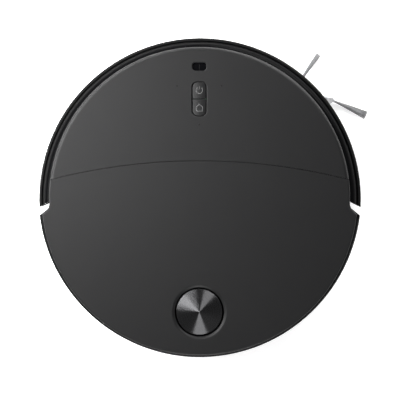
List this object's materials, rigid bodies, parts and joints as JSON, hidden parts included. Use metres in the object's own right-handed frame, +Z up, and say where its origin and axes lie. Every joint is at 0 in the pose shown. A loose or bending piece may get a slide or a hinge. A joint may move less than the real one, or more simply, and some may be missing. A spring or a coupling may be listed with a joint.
{
  "type": "robot vacuum",
  "caption": "Round robot vacuum and mop: rising lidar turret, two-piece top, pill buttons, floating bumper, swinging side brush, split main brush, D-shaped mop.",
  "frame": {"origin": "on the floor, under the round body's axis", "axes": "+Z up; the bumper faces -Y and the charging contacts face +Y; the robot's right is -X"},
  "size_m": [0.3576, 0.3494, 0.0798],
  "materials": {
    "satin_cover": "satin, finely textured",
    "gloss_bumper": "glossy",
    "body_black": "fine matt grain",
    "chassis_grey": "matt",
    "smoked_lens": "polished, dark",
    "brushed_cap": "brushed in circles, blackened",
    "steel": "bright",
    "contact_plate": "plated",
    "tyre": "moulded tread",
    "hub_grey": "matt",
    "blade_rubber": "soft",
    "bristle": "nylon filament",
    "mop_cloth": "microfibre",
    "white_plastic": "matt",
    "smoked_bin": "smoked clear",
    "filter_paper": "pleated",
    "board": "solder mask",
    "motor_can": "drawn",
    "battery_wrap": "shrink wrap",
    "tank_clear": "translucent"
  },
  "bodies": {
    "body": {"upper_housing": "body_black", "chassis_base": "chassis_grey", "chassis_screws": "steel", "exhaust_grille": "body_black", "floor_sensors": "smoked_lens", "sensor_bar": "body_black", "front_cover": "satin_cover", "button_board": "board", "overhead_sensor_window": "smoked_lens", "turret_well": "body_black", "lidar_lift_motor": "motor_can", "wheel_wells": "chassis_grey", "brush_chamber": "body_black", "brush_guard": "hub_grey", "brush_motor": "body_black", "suction_duct": "body_black", "side_brush_motor": "motor_can", "dustbin_bay": "body_black", "fan_housing": "body_black", "fan_motor": "motor_can", "battery_pack": "battery_wrap", "main_board": "board", "water_tank": "tank_clear", "charging_contacts": "contact_plate"},
    "lid": {"rear_cover": "satin_cover"},
    "bumper": {"bumper_shell": "body_black", "bumper_crown": "gloss_bumper", "bumper_windows": "smoked_lens"},
    "lever_left": {"bumper_lever_left": "hub_grey"},
    "lever_right": {"bumper_lever_right": "hub_grey"},
    "start": {"start_button": "satin_cover"},
    "dock": {"dock_button": "satin_cover"},
    "turret": {"lidar_cap": "brushed_cap", "lidar_cage": "body_black"},
    "scanner": {"lidar_head": "body_black"},
    "drive_arm_left": {"wheel_arm_left": "chassis_grey", "drive_motor_left": "motor_can"},
    "drive_arm_right": {"wheel_arm_right": "chassis_grey", "drive_motor_right": "motor_can"},
    "wheel_left": {"wheel_hub_left": "hub_grey", "tyre_left": "tyre"},
    "wheel_right": {"wheel_hub_right": "hub_grey", "tyre_right": "tyre"},
    "caster_swivel": {"caster_fork": "chassis_grey", "caster_axle": "steel"},
    "caster_roller": {"caster_wheel": "hub_grey"},
    "main_brush": {"brush_core": "hub_grey", "brush_blades": "blade_rubber"},
    "sweeper_arm": {"side_brush_arm": "hub_grey"},
    "sweeper": {"side_brush_hub": "white_plastic", "side_brush_bristles": "bristle"},
    "mop_lift_frame": {"mop_carrier": "hub_grey"},
    "mop": {"mop_plate": "hub_grey", "mop_pad": "mop_cloth"},
    "dustbin": {"dustbin_tank": "smoked_bin", "dustbin_lid": "smoked_bin", "hepa_filter": "filter_paper"},
    "bin_handle": {"dustbin_handle": "hub_grey"},
    "bin_flap": {"inlet_flap": "blade_rubber"},
    "fan": {"fan_impeller": "hub_grey"}
  },
  "joints": [
    {"name": "lid_lift", "type": "slide", "parent": "body", "child": "lid", "axis": [0, 0, 1], "range_m": [0, 0.13]},
    {"name": "dustbin_lift", "type": "slide", "parent": "body", "child": "dustbin", "axis": [0, 0, 1], "range_m": [0, 0.065]},
    {"name": "handle_fold", "type": "hinge", "parent": "dustbin", "child": "bin_handle", "pos_m": [0, -0.008, 0.0669], "axis": [1, 0, 0], "range_deg": [0, 90.1]},
    {"name": "flap_swing", "type": "hinge", "parent": "dustbin", "child": "bin_flap", "pos_m": [0, -0.0204, 0.0464], "axis": [1, 0, 0], "range_deg": [0, 60]},
    {"name": "bumper_press", "type": "slide", "parent": "body", "child": "bumper", "axis": [0, 1, 0], "range_m": [0, 0.0032], "stiffness_N_per_m": 600, "springref_m": -0.002},
    {"name": "lever_left_turn", "type": "hinge", "parent": "body", "child": "lever_left", "pos_m": [0.055, -0.141, 0.049], "axis": [0, 0, 1], "range_deg": [0, 12.4]},
    {"name": "lever_right_turn", "type": "hinge", "parent": "body", "child": "lever_right", "pos_m": [-0.055, -0.141, 0.049], "axis": [0, 0, 1], "range_deg": [-12.4, 0]},
    {"name": "start_press", "type": "slide", "parent": "body", "child": "start", "axis": [0, 0, -1], "range_m": [0, 0.0007], "stiffness_N_per_m": 800, "springref_m": -0.0006},
    {"name": "dock_press", "type": "slide", "parent": "body", "child": "dock", "axis": [0, 0, -1], "range_m": [0, 0.0007], "stiffness_N_per_m": 800, "springref_m": -0.0006},
    {"name": "turret_lift", "type": "slide", "parent": "body", "child": "turret", "axis": [0, 0, 1], "range_m": [0, 0.022]},
    {"name": "scanner_spin", "type": "hinge", "parent": "turret", "child": "scanner", "pos_m": [0, 0.1249, 0.06], "axis": [0, 0, 1], "continuous": true},
    {"name": "left_suspension", "type": "hinge", "parent": "body", "child": "drive_arm_left", "pos_m": [0.107, 0.0515, 0.03], "axis": [1, 0, 0], "range_deg": [0, 25], "stiffness_Nm_per_rad": 0.9, "springref_deg": 57.3},
    {"name": "right_suspension", "type": "hinge", "parent": "body", "child": "drive_arm_right", "pos_m": [-0.107, 0.0515, 0.03], "axis": [1, 0, 0], "range_deg": [0, 25], "stiffness_Nm_per_rad": 0.9, "springref_deg": 57.3},
    {"name": "left_wheel_spin", "type": "hinge", "parent": "drive_arm_left", "child": "wheel_left", "pos_m": [0.117, 0.004, 0.033], "axis": [1, 0, 0], "continuous": true},
    {"name": "right_wheel_spin", "type": "hinge", "parent": "drive_arm_right", "child": "wheel_right", "pos_m": [-0.117, 0.004, 0.033], "axis": [1, 0, 0], "continuous": true},
    {"name": "caster_swivel_turn", "type": "hinge", "parent": "body", "child": "caster_swivel", "pos_m": [0, -0.132, 0.03], "axis": [0, 0, 1], "continuous": true},
    {"name": "caster_roll", "type": "hinge", "parent": "caster_swivel", "child": "caster_roller", "pos_m": [0, -0.1275, 0.012], "axis": [1, 0, 0], "continuous": true},
    {"name": "main_brush_spin", "type": "hinge", "parent": "body", "child": "main_brush", "pos_m": [0, -0.07, 0.025], "axis": [1, 0, 0], "continuous": true},
    {"name": "sweeper_arm_swing", "type": "hinge", "parent": "body", "child": "sweeper_arm", "pos_m": [-0.075, -0.128, 0.015], "axis": [0, 0, 1], "range_deg": [0, 22]},
    {"name": "sweeper_spin", "type": "hinge", "parent": "sweeper_arm", "child": "sweeper", "pos_m": [-0.1145, -0.0919, 0.008], "axis": [0, 0, 1], "continuous": true, "deforming": ["side_brush_bristles"]},
    {"name": "mop_raise", "type": "slide", "parent": "body", "child": "mop_lift_frame", "axis": [0, 0, 1], "range_m": [0, 0.008]},
    {"name": "mop_shake", "type": "slide", "parent": "mop_lift_frame", "child": "mop", "axis": [1, 0, 0], "range_m": [-0.0015, 0.0015]},
    {"name": "fan_spin", "type": "hinge", "parent": "body", "child": "fan", "pos_m": [-0.036, 0.05, 0.046], "axis": [0, 1, 0], "continuous": true}
  ],
  "couplings": [
    {"joint": "dustbin_lift", "follows": "lid_lift", "ratio": 0.5},
    {"joint": "handle_fold", "follows": "lid_lift", "rad_per_m": 12.083},
    {"joint": "lever_left_turn", "follows": "bumper_press", "rad_per_m": 66.541},
    {"joint": "lever_right_turn", "follows": "bumper_press", "rad_per_m": -66.541}
  ]
}
